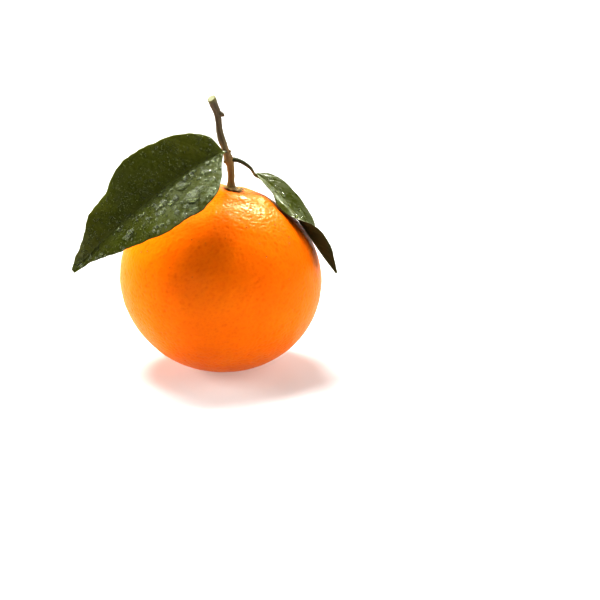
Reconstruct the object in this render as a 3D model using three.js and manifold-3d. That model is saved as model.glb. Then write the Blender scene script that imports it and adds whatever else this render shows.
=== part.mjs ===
import * as THREE from "three";
import { mergeVertices } from "three/addons/utils/BufferGeometryUtils.js";
import Module from "manifold-3d";

const wasm = await Module();
wasm.setup();

// A fresh orange standing on its blossom end, with its calyx, a length of twig and two leaves.
// Millimetres. The origin is the middle of the small flat it rests on, and +Z is up.

// Fruit
const fruit_centre = new THREE.Vector3(0, 0, 36);
const fruit_radius = 40; // across the equator
const stem_half_height = 36; // centre to stem end, before the cup
const blossom_half_height = 37.2; // centre to blossom end, before the dimple
const fruit_squareness = 2.03; // 2 is an ellipsoid, more is boxier
const stem_lean_right = 8.4; // degrees the core leans towards +X
const stem_lean_back = 2; // degrees the core leans towards +Y
const cup_depth = 0.6;
const cup_width = 0.16; // radians from the core
const shoulder_height = 0.92;
const shoulder_unevenness = 0.23;
const shoulder_angle = 0.295; // radians from the core
const shoulder_shift = 0.08;
const shoulder_width = 0.105;
const furrow_depth = 0.22;
const lower_left_slack = 0.6; // how much the lower left is drawn in
const dimple_depth = 2;
const dimple_width = 0.1; // radians from the core
const peel_relief = 0.07;
const fruit_detail = 19; // splits of each icosahedron edge
const stem_end_crowding = 0.45; // how much closer the facets are at the stem end

// Calyx
const calyx_lobes = 5;
const calyx_lobe_reach = 3.9;
const calyx_waist_reach = 2.6;
const calyx_thickness = 0.85;
const calyx_lobe_thickness = 0.62;
const calyx_button_radius = 1.7;
const calyx_tip_lift = 0.35;

// Twig: centreline from the calyx up to the cut end, and [share of its length, radius]
const twig_path = [
  [4.6, 1.2, 73.0],
  [4.65, 1.0, 78.1],
  [4.4, 0.8, 80.9],
  [4.0, 0.6, 82.9],
  [2.7, 0.3, 87.1],
  [1.0, 0, 92.3],
  [0.5, -0.2, 95.0],
  [0.2, -0.5, 98.4],
  [-0.45, -0.8, 102.2],
  [-1.5, -1.0, 104.9],
  [-2.4, -1.2, 107.3],
];
const twig_radii = [
  [0, 1.35],
  [0.06, 1.07],
  [0.15, 1.13],
  [0.23, 1.35],
  [0.29, 1.6],
  [0.36, 1.25],
  [0.45, 1.15],
  [0.54, 1.2],
  [0.63, 1.03],
  [0.74, 1.08],
  [0.86, 1.3],
  [0.94, 1.42],
  [1, 1.42],
];
// Buds and scars: [share of the length, way it points, reach from the centreline, radius, length]
const twig_buds = [
  [0.84, [0.85, -0.1, -0.5], 1.5, 0.62, 1.25],
  [0.37, [0.9, -0.25, 0.35], 1.1, 0.5, 0.75],
  [0.28, [-0.85, -0.4, -0.2], 1.2, 0.6, 1.0],
  [0.425, [-0.5, -0.8, -0.3], 0.7, 0.6, 0.75],
];

// Leaves. Each midrib is a cubic curve; each half has [share of the length, value] knots.
const blade_thickness = 0.8;
const leaf_curl = 16; // degrees each half flattens between midrib and margin
const vein_relief = 0.13;
const left_leaf = {
  name: "leaf_left",
  midrib: [
    [2.5, -16.9, 89.3],
    [-16.2, -26.5, 82.0],
    [-40.1, -35.6, 60.8],
    [-52.6, -35.2, 47.2],
  ],
  facing: [
    [-0.26, -0.8, 0.55],
    [-0.26, -0.8, 0.55],
  ],
  petiole: [
    [2.55, -1.45, 86.9],
    [2.4, -5.5, 87.5],
    [2.5, -11.5, 88.5],
  ],
  petiole_wing: 0.9,
  far_half: {
    width: [
      [0, 0.8], [0.02, 6.0], [0.05, 8.6], [0.12, 12.1], [0.2, 14.4], [0.32, 16.3], [0.42, 16.8],
      [0.51, 15.4], [0.6, 12.8], [0.7, 10.7], [0.8, 5.9], [0.88, 3.6], [0.96, 1.9], [1, 1.4],
    ],
    fold: [[0, 34], [1, 30]],
    wave: [[0, 0], [0.3, 0.48], [0.45, 0.97], [0.6, -1.55], [0.74, 0.97], [1, 0]],
  },
  near_half: {
    width: [
      [0, 0.8], [0.05, 5.1], [0.12, 12.7], [0.2, 18.5], [0.3, 20.4], [0.4, 19.2], [0.5, 18.8],
      [0.6, 14.4], [0.7, 10.5], [0.8, 6.1], [0.88, 2.9], [0.95, 1.7], [1, 0.7],
    ],
    fold: [[0, 22], [1, 22]],
    wave: [[0, 0], [0.2, 0.58], [0.35, -0.48], [0.5, 0.58], [0.65, -0.29], [1, 0]],
  },
  veins: 9,
  rows: 40,
  columns: 6,
};
const right_leaf = {
  name: "leaf_right",
  midrib: [
    [15, 8.4, 75.4],
    [26.3, 6.3, 69.6],
    [36.9, -8.8, 51.6],
    [45.7, -13.9, 41.3],
  ],
  facing: [
    [0.512, -0.235, 0.826],
    [0.549, 0.375, 0.213],
  ],
  petiole: [
    [6.2, 0.8, 82.75],
    [8.04, 0.9, 82.25],
    [10.49, 2.8, 80.43],
    [12.93, 5.4, 77.88],
  ],
  petiole_wing: 1.5,
  far_half: {
    width: [
      [0, 0.8], [0.03, 3.3], [0.08, 5.4], [0.16, 7.8], [0.26, 9.2], [0.38, 10.8],
      [0.5, 11.9], [0.62, 8.7], [0.75, 8], [0.9, 4.1], [1, 0.7],
    ],
    fold: [[0, 24], [0.3, 24], [0.55, 27], [0.8, 25], [1, 49]],
    wave: [[0, 0], [0.3, 0.3], [0.5, -0.4], [0.75, 0.4], [1, 0]],
  },
  near_half: {
    width: [
      [0, 0.8], [0.03, 2], [0.08, 4.1], [0.16, 5.5], [0.26, 6], [0.38, 8.1],
      [0.5, 8.2], [0.62, 8.7], [0.75, 5.4], [0.9, 2.6], [1, 0.4],
    ],
    fold: [[0, 22], [0.3, 5], [0.55, 15], [0.8, 52], [1, 35]],
    wave: [[0, 0], [0.35, 0.2], [0.6, -0.3], [0.8, 0.4], [1, 0]],
  },
  veins: 8,
  rows: 34,
  columns: 5,
};

const radians = THREE.MathUtils.degToRad;

function vector(p) {
  return new THREE.Vector3(p[0], p[1], p[2]);
}

function bump(x, middle, width) {
  return Math.exp(-(((x - middle) / width) ** 2));
}

// A smooth curve through [x, y] knots, level beyond the first and the last.
function through(knots, x) {
  const last = knots.length - 1;
  const at = Math.min(Math.max(x, knots[0][0]), knots[last][0]);
  let i = 0;
  while (i < last - 1 && at > knots[i + 1][0]) {
    i += 1;
  }
  const slope = (k) => {
    const a = knots[Math.max(k - 1, 0)];
    const b = knots[Math.min(k + 1, last)];
    return (b[1] - a[1]) / (b[0] - a[0]);
  };
  const [x0, y0] = knots[i];
  const [x1, y1] = knots[i + 1];
  const span = x1 - x0;
  const t = (at - x0) / span;
  const t2 = t * t;
  const t3 = t2 * t;
  return (
    (2 * t3 - 3 * t2 + 1) * y0 +
    (t3 - 2 * t2 + t) * span * slope(i) +
    (3 * t2 - 2 * t3) * y1 +
    (t3 - t2) * span * slope(i + 1)
  );
}

function solidOf(geometry) {
  const bare = new THREE.BufferGeometry();
  bare.setAttribute("position", geometry.getAttribute("position"));
  if (geometry.index) {
    bare.setIndex(geometry.index);
  }
  const merged = mergeVertices(bare, 1e-4);
  return new wasm.Manifold(
    new wasm.Mesh({
      numProp: 3,
      vertProperties: merged.attributes.position.array,
      triVerts: new Uint32Array(merged.index.array),
    }),
  );
}

function geometryOf(solid) {
  const mesh = solid.getMesh();
  const geometry = new THREE.BufferGeometry();
  geometry.setAttribute("position", new THREE.BufferAttribute(mesh.vertProperties, 3));
  geometry.setIndex(new THREE.BufferAttribute(mesh.triVerts, 1));
  geometry.computeVertexNormals();
  return geometry;
}

function meshOf(name, geometry, colour, roughness) {
  const material = new THREE.MeshStandardMaterial({ color: colour, roughness, metalness: 0 });
  const mesh = new THREE.Mesh(geometry, material);
  mesh.name = name;
  return mesh;
}

// The fruit's own axes: its core is the z axis, and x stays over the part's +X.
function coreFrame() {
  const x = Math.sin(radians(stem_lean_right));
  const y = Math.sin(radians(stem_lean_back));
  const core = new THREE.Vector3(x, y, Math.sqrt(1 - x * x - y * y));
  const right = new THREE.Vector3(1, 0, 0).addScaledVector(core, -x).normalize();
  const back = new THREE.Vector3().crossVectors(core, right);
  return { right, back, core };
}

const frame = coreFrame();

// Distance from the fruit's centre to its peel, theta from the stem end and phi round the core.
function fruitReach(theta, phi) {
  const half_height = Math.cos(theta) > 0 ? stem_half_height : blossom_half_height;
  const across = (Math.sin(theta) / fruit_radius) ** fruit_squareness;
  const along = (Math.abs(Math.cos(theta)) / half_height) ** fruit_squareness;
  let reach = (across + along) ** (-1 / fruit_squareness);
  reach -= cup_depth * bump(theta, 0, cup_width);
  const ring = shoulder_angle + shoulder_shift * Math.cos(phi);
  const rise = shoulder_height - shoulder_unevenness * Math.cos(phi);
  reach += rise * bump(theta, ring, shoulder_width);
  const furrows =
    Math.cos(5 * phi + 0.7) + 0.6 * Math.cos(8 * phi + 2.1) + 0.5 * Math.cos(3 * phi + 4);
  reach += furrow_depth * furrows * bump(theta, 0.34, 0.17);
  const girth = Math.sin(theta);
  reach += 0.28 * girth ** 2 * Math.cos(2 * phi + 1.1);
  reach += 0.22 * girth ** 3 * Math.cos(3 * phi + 0.4);
  reach -= lower_left_slack * (0.5 - 0.5 * Math.cos(phi)) * bump(theta, 2.2, 0.45);
  reach -= dimple_depth * bump(theta, Math.PI, dimple_width);
  return reach;
}

// Fine unevenness of the peel, as a function of direction.
function peelRelief(x, y, z) {
  return (
    peel_relief *
    (Math.sin(31 * x + 9 * y) + Math.sin(29 * y + 11 * z + 1) + Math.sin(33 * z + 8 * x + 2))
  );
}

function onPeel(theta, phi, lift) {
  const out = fruitReach(theta, phi) + lift;
  return new THREE.Vector3()
    .copy(fruit_centre)
    .addScaledVector(frame.right, out * Math.sin(theta) * Math.cos(phi))
    .addScaledVector(frame.back, out * Math.sin(theta) * Math.sin(phi))
    .addScaledVector(frame.core, out * Math.cos(theta));
}

function makeFruit() {
  const geometry = new THREE.IcosahedronGeometry(1, fruit_detail);
  const position = geometry.getAttribute("position");
  for (let i = 0; i < position.count; i += 1) {
    const way = new THREE.Vector3().fromBufferAttribute(position, i).normalize();
    const even = Math.acos(THREE.MathUtils.clamp(way.z, -1, 1));
    const theta = even * (1 - stem_end_crowding * (1 - even / Math.PI) ** 2);
    const phi = Math.atan2(way.y, way.x);
    const away = Math.sin(theta);
    const relief = peelRelief(way.x, way.y, way.z) * away;
    const p = onPeel(theta, phi, relief);
    position.setXYZ(i, p.x, p.y, p.z);
  }
  const whole = solidOf(geometry);
  return geometryOf(whole.trimByPlane([0, 0, 1], 0));
}

// A five-lobed dry star lying in the cup, just clear of the peel.
function makeCalyx() {
  const spokes = 40;
  const rings = 6;
  const clearance = 0.4;
  const reachAt = (phi) => {
    const lobe = Math.abs(Math.cos((calyx_lobes * (phi - 0.35)) / 2)) ** 1.6;
    const uneven = 1 + 0.08 * Math.sin(phi + 1) + 0.05 * Math.sin(2 * phi);
    return (calyx_waist_reach + (calyx_lobe_reach - calyx_waist_reach) * lobe) * uneven;
  };
  const pointAt = (share, phi, top) => {
    const out = share * reachAt(phi);
    const theta = out / (stem_half_height - cup_depth);
    const lift = clearance + calyx_tip_lift * share ** 4;
    const button = 1 - THREE.MathUtils.smoothstep(out, calyx_button_radius - 0.6, calyx_button_radius + 0.6);
    const thickness = calyx_lobe_thickness + (calyx_thickness - calyx_lobe_thickness) * button;
    return onPeel(theta, phi, top ? lift + thickness : lift);
  };
  const points = [];
  for (const top of [true, false]) {
    points.push(pointAt(0, 0, top));
    for (let r = 1; r <= rings; r += 1) {
      for (let s = 0; s < spokes; s += 1) {
        points.push(pointAt(r / rings, (2 * Math.PI * s) / spokes, top));
      }
    }
  }
  const layer = 1 + rings * spokes;
  const id = (side, r, s) => side * layer + (r === 0 ? 0 : 1 + (r - 1) * spokes + (s % spokes));
  const faces = [];
  for (let s = 0; s < spokes; s += 1) {
    faces.push(id(0, 0, 0), id(0, 1, s), id(0, 1, s + 1));
    faces.push(id(1, 0, 0), id(1, 1, s + 1), id(1, 1, s));
    for (let r = 1; r < rings; r += 1) {
      faces.push(id(0, r, s), id(0, r + 1, s), id(0, r + 1, s + 1));
      faces.push(id(0, r, s), id(0, r + 1, s + 1), id(0, r, s + 1));
      faces.push(id(1, r, s), id(1, r + 1, s + 1), id(1, r + 1, s));
      faces.push(id(1, r, s), id(1, r, s + 1), id(1, r + 1, s + 1));
    }
    faces.push(id(0, rings, s), id(1, rings, s), id(1, rings, s + 1));
    faces.push(id(0, rings, s), id(1, rings, s + 1), id(0, rings, s + 1));
  }
  const geometry = new THREE.BufferGeometry().setFromPoints(points);
  geometry.setIndex(faces);
  geometry.computeVertexNormals();
  return geometry;
}

// A round stalk along a curve, with flat ends.
function makeStalk(curve, radiusAt, steps, sides) {
  const { normals, binormals } = curve.computeFrenetFrames(steps, false);
  const points = [];
  for (let i = 0; i <= steps; i += 1) {
    const middle = curve.getPointAt(i / steps);
    for (let s = 0; s < sides; s += 1) {
      const turn = (2 * Math.PI * s) / sides;
      const radius = radiusAt(i / steps);
      const out = new THREE.Vector3()
        .addScaledVector(normals[i], radius * Math.cos(turn))
        .addScaledVector(binormals[i], radius * Math.sin(turn));
      points.push(out.add(middle));
    }
  }
  const first = points.push(curve.getPointAt(0)) - 1;
  const last = points.push(curve.getPointAt(1)) - 1;
  const faces = [];
  for (let s = 0; s < sides; s += 1) {
    const next = (s + 1) % sides;
    for (let i = 0; i < steps; i += 1) {
      const low = i * sides;
      const high = low + sides;
      faces.push(low + s, low + next, high + next);
      faces.push(low + s, high + next, high + s);
    }
    faces.push(first, next, s);
    faces.push(last, steps * sides + s, steps * sides + next);
  }
  const geometry = new THREE.BufferGeometry().setFromPoints(points);
  geometry.setIndex(faces);
  return geometry;
}

function makeTwig() {
  const curve = new THREE.CatmullRomCurve3(twig_path.map(vector), false, "centripetal");
  let solid = solidOf(makeStalk(curve, (t) => through(twig_radii, t), 40, 12));
  for (const [share, way, reach, radius, length] of twig_buds) {
    const bud = new THREE.SphereGeometry(1, 10, 7);
    bud.scale(radius, radius, length);
    const turn = new THREE.Quaternion().setFromUnitVectors(
      new THREE.Vector3(0, 0, 1),
      vector(way).normalize(),
    );
    bud.applyQuaternion(turn);
    const middle = curve.getPointAt(share).addScaledVector(vector(way).normalize(), reach);
    bud.translate(middle.x, middle.y, middle.z);
    solid = solid.add(solidOf(bud));
  }
  return geometryOf(solid);
}

// Midrib point, the way along it, the way the blade faces and the way to its far half.
function leafFrame(leaf, u) {
  const curve = new THREE.CubicBezierCurve3(...leaf.midrib.map(vector));
  const along = curve.getTangent(u);
  const facing = new THREE.Vector3().lerpVectors(vector(leaf.facing[0]), vector(leaf.facing[1]), u);
  facing.addScaledVector(along, -facing.dot(along)).normalize();
  const far = new THREE.Vector3().crossVectors(along, facing);
  if (far.dot(new THREE.Vector3(0, 1, 0)) < 0) {
    far.negate();
  }
  return { middle: curve.getPoint(u), along, facing, far };
}

// Point and outward normal of the blade's middle layer; v runs from -1, near margin, to 1, far.
function bladePoint(leaf, u, v) {
  const { middle, facing, far } = leafFrame(leaf, u);
  const half = v < 0 ? leaf.near_half : leaf.far_half;
  const side = v < 0 ? -1 : 1;
  const share = Math.abs(v);
  const width = through(half.width, u);
  const fold = radians(through(half.fold, u));
  const bend = radians(leaf_curl);
  const slope = fold - bend * share;
  const out = (width * (Math.sin(fold) - Math.sin(slope))) / bend;
  const lift = (width * (Math.cos(slope) - Math.cos(fold))) / bend;
  const wave = through(half.wave, u) * share ** 2;
  const vein = Math.cos(2 * Math.PI * (leaf.veins * u - 1.4 * share)) * share * (1 - share ** 4);
  const rise = lift + wave + vein_relief * vein;
  const point = middle.addScaledVector(far, side * out).addScaledVector(facing, rise);
  const tilt = v === 0 ? 0 : side * slope;
  const normal = new THREE.Vector3()
    .addScaledVector(facing, Math.cos(tilt))
    .addScaledVector(far, -Math.sin(tilt));
  return { point, normal };
}

// A closed sheet over a grid of [point, normal], split into triangles alike on both faces.
function makeSheet(rows, columns, at, thickness) {
  const points = [];
  for (const side of [0.5, -0.5]) {
    for (let i = 0; i <= rows; i += 1) {
      for (let j = 0; j <= columns; j += 1) {
        const { point, normal } = at(i / rows, (2 * j) / columns - 1);
        points.push(point.addScaledVector(normal, side * thickness));
      }
    }
  }
  const layer = (rows + 1) * (columns + 1);
  const id = (side, i, j) => side * layer + i * (columns + 1) + j;
  const faces = [];
  const wall = (i0, j0, i1, j1) => {
    faces.push(id(0, i0, j0), id(1, i0, j0), id(1, i1, j1));
    faces.push(id(0, i0, j0), id(1, i1, j1), id(0, i1, j1));
  };
  for (let i = 0; i < rows; i += 1) {
    for (let j = 0; j < columns; j += 1) {
      const corners = [[i, j], [i + 1, j], [i + 1, j + 1], [i, j + 1]];
      const split = j < columns / 2 ? [0, 1, 2, 0, 2, 3] : [0, 1, 3, 1, 2, 3];
      const top = split.map((k) => id(0, ...corners[k]));
      const under = split.map((k) => id(1, ...corners[k])).reverse();
      faces.push(...top, ...under);
    }
    wall(i, 0, i + 1, 0);
    wall(i + 1, columns, i, columns);
  }
  for (let j = 0; j < columns; j += 1) {
    wall(0, j + 1, 0, j);
    wall(rows, j, rows, j + 1);
  }
  const geometry = new THREE.BufferGeometry().setFromPoints(points);
  geometry.setIndex(faces);
  return geometry;
}

function facingOut(geometry) {
  const solid = solidOf(geometry);
  if (solid.volume() > 0) {
    return solid;
  }
  const index = geometry.index.array.slice().reverse();
  geometry.setIndex(new THREE.BufferAttribute(index, 1));
  return solidOf(geometry);
}

// The blade, the stalk that carries on under it as its midrib, and the stalk's narrow wings.
function makeLeaf(leaf) {
  const even = (t) => 0.55 * t + 0.45 * (0.5 - 0.5 * Math.cos(Math.PI * t));
  const blade = makeSheet(
    leaf.rows,
    2 * leaf.columns,
    (t, v) => bladePoint(leaf, even(t), v),
    blade_thickness,
  );
  const start = leafFrame(leaf, 0);
  const stalk = leaf.petiole.map(vector);
  const rib = [0.02, 0.15, 0.3, 0.45, 0.6, 0.75, 0.9].map((u) => {
    const { middle, facing } = leafFrame(leaf, u);
    return middle.addScaledVector(facing, -0.35 + 0.25 * u);
  });
  const curve = new THREE.CatmullRomCurve3([...stalk, ...rib], false, "centripetal");
  const radiusAt = (t) => 0.85 - 0.5 * t;
  const stem = solidOf(makeStalk(curve, radiusAt, 36, 8));
  const wing_curve = new THREE.CatmullRomCurve3([...stalk, rib[0]], false, "centripetal");
  const wings = makeSheet(
    10,
    4,
    (t, v) => {
      const share = 0.08 + 0.92 * t;
      const along = wing_curve.getTangent(share);
      const facing = start.facing.clone();
      facing.addScaledVector(along, -facing.dot(along)).normalize();
      const far = new THREE.Vector3().crossVectors(along, facing);
      far.multiplyScalar(Math.sign(far.dot(start.far)));
      const width = 0.6 + (leaf.petiole_wing - 0.6) * Math.sin(Math.PI * t) ** 0.8;
      const point = wing_curve.getPoint(share).addScaledVector(far, v * width);
      point.addScaledVector(facing, 0.35 * Math.abs(v) * width);
      return { point, normal: facing };
    },
    blade_thickness,
  );
  return geometryOf(facingOut(blade).add(stem).add(facingOut(wings)));
}

const orange = new THREE.Group();
orange.name = "orange";
orange.add(meshOf("fruit", makeFruit(), 0xf97f08, 0.42));
orange.add(meshOf("calyx", makeCalyx(), 0x5f5a2e, 0.85));
orange.add(meshOf("twig", makeTwig(), 0x54402a, 0.8));
orange.add(meshOf("leaf_left", makeLeaf(left_leaf), 0x34461a, 0.45));
orange.add(meshOf("leaf_right", makeLeaf(right_leaf), 0x3d5220, 0.45));

export default orange;
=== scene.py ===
import math

import bmesh
import bpy
import numpy as np
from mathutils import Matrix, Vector, kdtree


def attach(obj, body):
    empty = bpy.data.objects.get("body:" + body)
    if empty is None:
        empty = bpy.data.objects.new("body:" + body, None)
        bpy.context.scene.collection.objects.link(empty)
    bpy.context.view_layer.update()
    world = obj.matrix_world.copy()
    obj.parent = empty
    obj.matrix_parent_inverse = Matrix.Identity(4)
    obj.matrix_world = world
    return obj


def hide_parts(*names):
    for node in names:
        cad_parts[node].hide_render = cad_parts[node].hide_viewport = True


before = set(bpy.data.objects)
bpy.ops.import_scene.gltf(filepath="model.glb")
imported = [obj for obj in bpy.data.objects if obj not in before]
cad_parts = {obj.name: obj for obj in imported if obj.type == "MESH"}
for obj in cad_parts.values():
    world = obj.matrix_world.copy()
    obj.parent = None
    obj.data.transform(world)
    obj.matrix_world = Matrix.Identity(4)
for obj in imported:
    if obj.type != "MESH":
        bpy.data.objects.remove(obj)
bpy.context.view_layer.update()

# Lengths are in millimetres as in the CAD, and scaled by MM when a mesh is made. Shares run
# from 0 to 1, and knots are (share of the length, value).
MM = 0.001

# Fruit: the overall shape has the solid's values. Angles are radians from the core,
# but for the lean.
FRUIT_CENTRE = np.array([0.0, 0.0, 36.0])
FRUIT_RADIUS = 40.0
STEM_HALF_HEIGHT, BLOSSOM_HALF_HEIGHT = 36.0, 37.2
FRUIT_SQUARENESS = 2.03
STEM_LEAN_RIGHT, STEM_LEAN_BACK = 8.4, 2.0  # degrees
CUP_DEPTH, CUP_WIDTH = 0.6, 0.16
SHOULDER_HEIGHT, SHOULDER_UNEVENNESS = 0.92, 0.23
SHOULDER_ANGLE, SHOULDER_SHIFT, SHOULDER_WIDTH = 0.295, 0.08, 0.105
LOWER_LEFT_SLACK, LOWER_LEFT_ANGLE, LOWER_LEFT_WIDTH = 0.6, 2.2, 0.45
DIMPLE_DEPTH, DIMPLE_WIDTH = 2.0, 0.1
# Waves round the core: how many, how large, where they start
FURROWS = [(5, 1, 0.7), (8, 0.6, 2.1), (3, 0.5, 4)]
FURROW_DEPTH, FURROW_ANGLE, FURROW_WIDTH = 0.22, 0.34, 0.17
CREASES = [(13, 1, 1.3), (21, 0.7, 0.4)]
CREASE_DEPTH, CREASE_ANGLE, CREASE_WIDTH = 0.09, 0.2, 0.09
GIRTH_WAVES = [(2, 0.28, 1.1), (3, 0.22, 0.4)]

# Peel detail. Relief fades out between the two angles given for each end.
FRUIT_CELLS = 125
PEEL_RADIUS = 38
PEEL_RELIEF = 0.03
PEEL_WAVES, PEEL_WAVE_SIZE = 0.025, 5.0
STEM_CALM, BLOSSOM_CALM = (0.05, 0.2), (0.06, 0.15)
FLAT_SOFTNESS = 0.12
PORES = 12500
PORE_DEPTH, PORE_RADIUS = 0.22, 0.36
PORE_SIZES, PORE_DEPTHS = (0.7, 1.3), (0.45, 1.15)
PORE_JITTER = 0.23

# Calyx
CALYX_SPOKES, CALYX_RINGS = 200, 36
LOBES, CALYX_TURN, LOBE_SHAPE = 5, 0.35, 1.6
LOBE_REACH, WAIST_REACH = 4.1, 3.2
BUTTON_RADIUS, BUTTON_HEIGHT, BUTTON_SLOPE = 2.0, 0.95, 0.5
CALYX_THICKNESS, CALYX_SINK = 0.65, 0.05
TIP_LIFT, TIP_LIFT_SWING = 0.75, 0.3
RIM_START, RIM_THINNING = 0.82, 0.75
COLLAR_RADIUS, COLLAR_WIDTH, COLLAR_HEIGHT = 2.35, 0.25, 0.12

# Twig. Each bud: share of the length, way it points, reach from the centreline, radius, length
TWIG_PATH = [
    (4.6, 1.2, 71.2), (4.6, 1.2, 73.0), (4.65, 1.0, 78.1), (4.4, 0.8, 80.9),
    (4.0, 0.6, 82.9), (2.7, 0.3, 87.1), (1.0, 0, 92.3), (0.5, -0.2, 95.0),
    (0.2, -0.5, 98.4), (-0.45, -0.8, 102.2), (-1.5, -1.0, 104.9), (-2.75, -1.3, 108.2),
]
TWIG_RADII = [
    (0, 1.7), (0.03, 1.55), (0.09, 1.1), (0.19, 1.13), (0.27, 1.35), (0.32, 1.6),
    (0.39, 1.25), (0.47, 1.15), (0.56, 1.2), (0.65, 1.03), (0.75, 1.08), (0.86, 1.3),
    (0.94, 1.42), (1, 1.42),
]
TWIG_STEPS, TWIG_SIDES, TWIG_VOXEL = 200, 40, 0.13
BUD_RINGS, BUD_SIDES, BUD_TAPER = 12, 20, 0.25
SKIN_SHRINKAGE = 0.2  # what the remesh takes off, given back
BARK_RIDGES, BARK_KNOBS, BARK_GRAIN = 0.05, 0.06, 0.03
CUT_WAY, CUT_BACK = (-0.5, -0.5, 0.93), 0.9
TWIG_BUDS = [
    (0.83, (0.85, -0.1, -0.45), 1.65, 0.8, 1.6),
    (0.4, (0.9, -0.25, 0.35), 1.1, 0.5, 0.75),
    (0.315, (-0.85, -0.4, -0.2), 1.2, 0.6, 1.0),
    (0.45, (-0.5, -0.8, -0.3), 0.7, 0.6, 0.75),
]

# Leaves: corners of the midrib's cubic curve, ways the blade faces at its two ends, path and
# form of the stalk, where painted sheen and painted shade lie, and the knots of each half.
BLADE_ROWS, BLADE_COLUMNS = 230, 92
BLADE_THICKNESS = 0.36
LEAF_CURL = 16.0  # degrees that a half bends from midrib to margin
RIB_WIDTH, RIB_TAPER = 0.55, 0.75
TOP_RIB_DEPTH, UNDER_RIB_HEIGHT = 0.10, 0.75
VEIN_WIDTH, VEIN_SWELL, TOP_VEIN_DEPTH, UNDER_VEIN_HEIGHT = 0.055, 0.05, 0.05, 0.09
QUILT_SIZE, QUILT_HEIGHT, BUCKLE_SIZE, BUCKLE_HEIGHT = 2.2, 0.02, 9, 0.4
STALK_STEPS, STALK_SIDES = 70, 28
STALK_WIDTH, STALK_DEPTH, TAIL_SINK = 0.72, 0.62, 0.45
BLADE_KNEE, TWIG_KNEE = 0.05, 0.12  # shares of the stalk that swell at its two ends
LEFT_LEAF = dict(
    name="leaf_left",
    midrib=[(2.5, -16.9, 89.3), (-16.2, -26.5, 82.0), (-40.1, -35.6, 60.8), (-52.6, -35.2, 47.2)],
    facing=[(-0.26, -0.8, 0.55)] * 2,
    stalk=[(2.6, -0.2, 86.75), (2.55, -1.45, 86.9), (2.4, -5.5, 87.5), (2.5, -11.5, 88.5)],
    stalk_wing=0.9, stalk_flat=0.45, stalk_thickness=1.0, stalk_tail=1.0, stalk_pale=0.0,
    painted_sheen=0.55, painted_sheen_from=(0.2, 0.7), painted_sheen_to=(0.3, 0.52),
    painted_sheen_margin=0.8, painted_sheen_gap=0.0, painted_sheen_far=0.0,
    near_shade=0.5, far_shade=0.0, ripple=0.16, veins=11,
    near_curl=[(0, 0), (1, 0)],
    far_half=dict(
        width=[(0, 0.8), (0.02, 6.2), (0.05, 8.8), (0.12, 12.3), (0.2, 14.6), (0.32, 16.5),
               (0.42, 17.0), (0.51, 15.6), (0.6, 13.0), (0.7, 10.9), (0.8, 6.1), (0.88, 3.8),
               (0.96, 2.0), (1, 1.0)],
        fold=[(0, 34), (1, 30)],
        wave=[(0, 0), (0.3, 0.48), (0.45, 0.97), (0.6, -1.55), (0.74, 0.97), (1, 0)],
    ),
    near_half=dict(
        width=[(0, 0.8), (0.05, 5.3), (0.12, 12.9), (0.2, 18.7), (0.3, 20.6), (0.4, 19.4),
               (0.5, 19.0), (0.6, 14.6), (0.7, 10.7), (0.8, 6.3), (0.88, 3.1), (0.95, 1.8),
               (1, 0.8)],
        fold=[(0, 22), (1, 22)],
        wave=[(0, 0), (0.2, 0.58), (0.35, -0.48), (0.5, 0.58), (0.65, -0.29), (1, 0)],
    ),
)
RIGHT_LEAF = dict(
    name="leaf_right",
    midrib=[(14.2, 8.4, 76.2), (26.3, 6.3, 69.6), (36.9, -8.8, 51.6), (45.7, -13.9, 41.3)],
    facing=[(0.512, -0.235, 0.826), (0.549, 0.375, 0.213)],
    stalk=[(5.2, 0.8, 83.2), (6.2, 0.8, 83.3), (8.04, 0.9, 82.8), (10.2, 2.8, 81.3),
             (12.3, 5.6, 79.0)],
    stalk_wing=0.7, stalk_flat=0.85, stalk_thickness=1.3, stalk_tail=0.85, stalk_pale=1.0,
    painted_sheen=0.85, painted_sheen_from=(-0.1, 0.0), painted_sheen_to=(0.5, 0.66),
    painted_sheen_margin=0.0, painted_sheen_gap=1.0, painted_sheen_far=0.6,
    near_shade=0.0, far_shade=0.5, ripple=0.05, veins=9,
    near_curl=[(0, 0), (0.26, 0.1), (0.36, 1.5), (0.48, 1.7), (0.62, 0), (1, 0)],
    far_half=dict(
        width=[(0, 0.8), (0.03, 3.42), (0.08, 5.52), (0.16, 7.92), (0.26, 9.32),
               (0.38, 10.92), (0.5, 12.02), (0.62, 8.82), (0.75, 8.12), (0.9, 4.22),
               (1, 0.7)],
        fold=[(0, 24), (0.3, 24), (0.55, 27), (0.8, 25), (1, 49)],
        wave=[(0, 0), (0.3, 0.3), (0.5, -0.4), (0.75, 0.4), (1, 0)],
    ),
    near_half=dict(
        width=[(0, 0.8), (0.03, 2.12), (0.08, 4.22), (0.16, 5.62), (0.26, 6.12),
               (0.38, 8.22), (0.5, 8.32), (0.62, 8.82), (0.75, 5.52), (0.9, 2.72), (1, 0.4)],
        fold=[(0, 22), (0.3, 5), (0.55, 15), (0.8, 52), (1, 35)],
        wave=[(0, 0), (0.35, 0.2), (0.6, -0.3), (0.8, 0.4), (1, 0)],
    ),
)

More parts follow.
